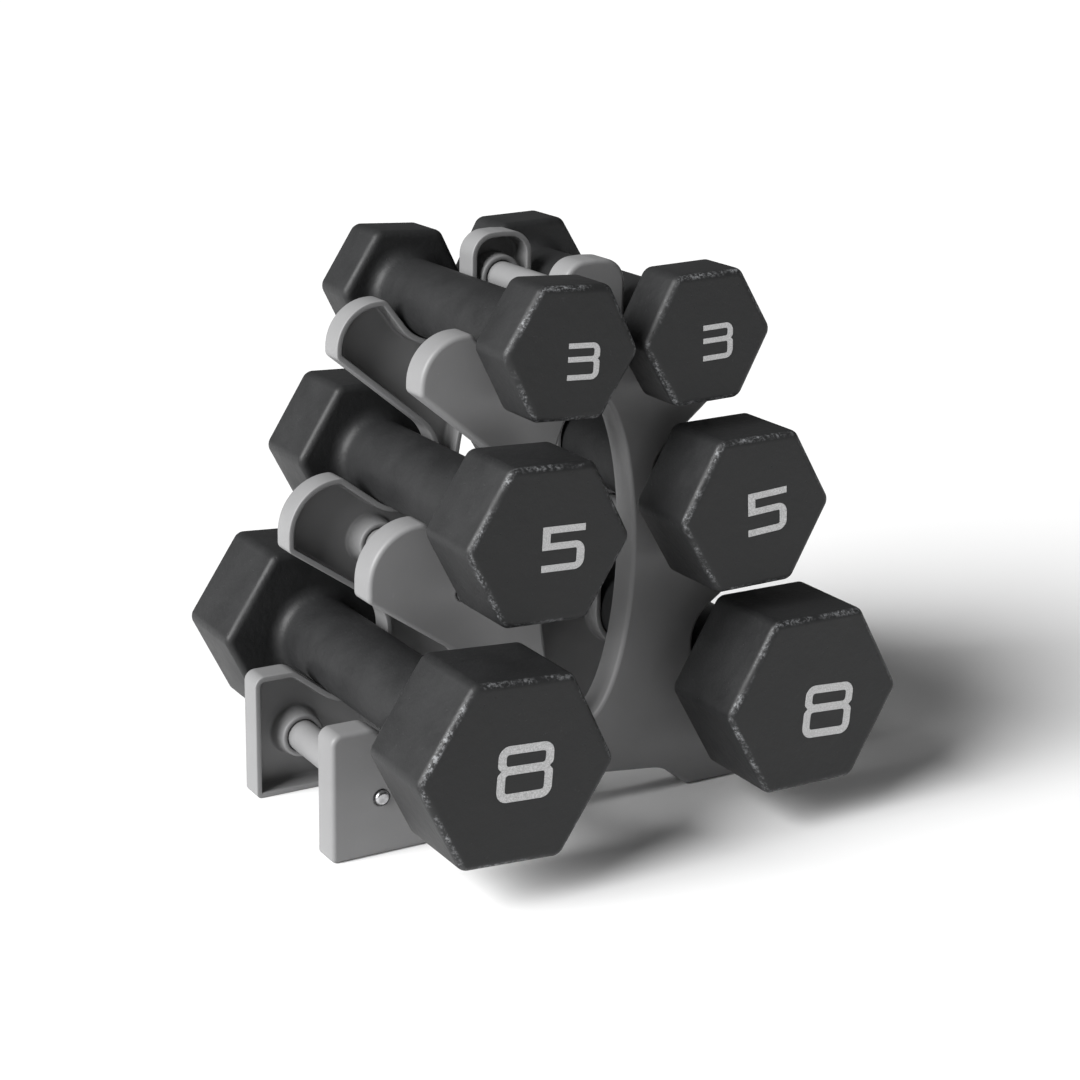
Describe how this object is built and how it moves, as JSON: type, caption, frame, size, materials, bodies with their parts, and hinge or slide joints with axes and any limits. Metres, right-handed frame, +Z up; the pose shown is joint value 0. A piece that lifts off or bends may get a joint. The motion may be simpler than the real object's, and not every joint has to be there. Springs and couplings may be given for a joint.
{
  "type": "dumbbell rack with dumbbells",
  "caption": "Free-standing rack of two tree-shaped plastic panels joined by spacer tubes, with cradle arms holding pairs of hexagonal coated dumbbells in three sizes.",
  "frame": {"origin": "on the floor, midway between the feet and midway between the two panels", "axes": "+Z up; +X to the right when seen from the front; +Y from the front panel to the rear panel, along the dumbbells"},
  "size_m": [0.248, 0.244, 0.2504],
  "materials": {
    "rack_plastic": "satin moulded plastic, mid grey",
    "spacer_plastic": "satin moulded plastic, light grey",
    "zinc_screw": "bright zinc plate",
    "cast_iron": "rough casting",
    "neoprene": "dipped neoprene, matte with a soft sheen",
    "numeral_silver": "silver paint with a fine sparkle"
  },
  "bodies": {
    "rack": {"front_panel": "rack_plastic", "rear_panel": "rack_plastic", "spacer_top": "spacer_plastic", "spacer_middle_left": "spacer_plastic", "spacer_middle_right": "spacer_plastic", "spacer_foot_left": "spacer_plastic", "spacer_foot_right": "spacer_plastic", "screw_front_top": "zinc_screw", "screw_rear_top": "zinc_screw", "screw_front_middle_left": "zinc_screw", "screw_rear_middle_left": "zinc_screw", "screw_front_middle_right": "zinc_screw", "screw_rear_middle_right": "zinc_screw", "screw_front_foot_left": "zinc_screw", "screw_rear_foot_left": "zinc_screw", "screw_front_foot_right": "zinc_screw", "screw_rear_foot_right": "zinc_screw"},
    "dumbbell_8lb_left": {"iron_core_8lb_left": "cast_iron", "neoprene_coat_8lb_left": "neoprene", "numeral_front_8lb_left": "numeral_silver", "numeral_rear_8lb_left": "numeral_silver"},
    "dumbbell_8lb_right": {"iron_core_8lb_right": "cast_iron", "neoprene_coat_8lb_right": "neoprene", "numeral_front_8lb_right": "numeral_silver", "numeral_rear_8lb_right": "numeral_silver"},
    "dumbbell_5lb_left": {"iron_core_5lb_left": "cast_iron", "neoprene_coat_5lb_left": "neoprene", "numeral_front_5lb_left": "numeral_silver", "numeral_rear_5lb_left": "numeral_silver"},
    "dumbbell_5lb_right": {"iron_core_5lb_right": "cast_iron", "neoprene_coat_5lb_right": "neoprene", "numeral_front_5lb_right": "numeral_silver", "numeral_rear_5lb_right": "numeral_silver"},
    "dumbbell_3lb_left": {"iron_core_3lb_left": "cast_iron", "neoprene_coat_3lb_left": "neoprene", "numeral_front_3lb_left": "numeral_silver", "numeral_rear_3lb_left": "numeral_silver"},
    "dumbbell_3lb_right": {"iron_core_3lb_right": "cast_iron", "neoprene_coat_3lb_right": "neoprene", "numeral_front_3lb_right": "numeral_silver", "numeral_rear_3lb_right": "numeral_silver"}
  },
  "joints": [
    {"name": "lift_8lb_left", "type": "slide", "parent": "rack", "child": "dumbbell_8lb_left", "axis": [-0.788, 0, 0.6157], "range_m": [0, 0.085]},
    {"name": "lift_8lb_right", "type": "slide", "parent": "rack", "child": "dumbbell_8lb_right", "axis": [0.788, 0, 0.6157], "range_m": [0, 0.085]},
    {"name": "lift_5lb_left", "type": "slide", "parent": "rack", "child": "dumbbell_5lb_left", "axis": [-0.8039, 0, 0.5948], "range_m": [0, 0.09]},
    {"name": "lift_5lb_right", "type": "slide", "parent": "rack", "child": "dumbbell_5lb_right", "axis": [0.8039, 0, 0.5948], "range_m": [0, 0.09]},
    {"name": "lift_3lb_left", "type": "slide", "parent": "rack", "child": "dumbbell_3lb_left", "axis": [0, 0, 1], "range_m": [0, 0.07]},
    {"name": "lift_3lb_right", "type": "slide", "parent": "rack", "child": "dumbbell_3lb_right", "axis": [0, 0, 1], "range_m": [0, 0.07]}
  ]
}
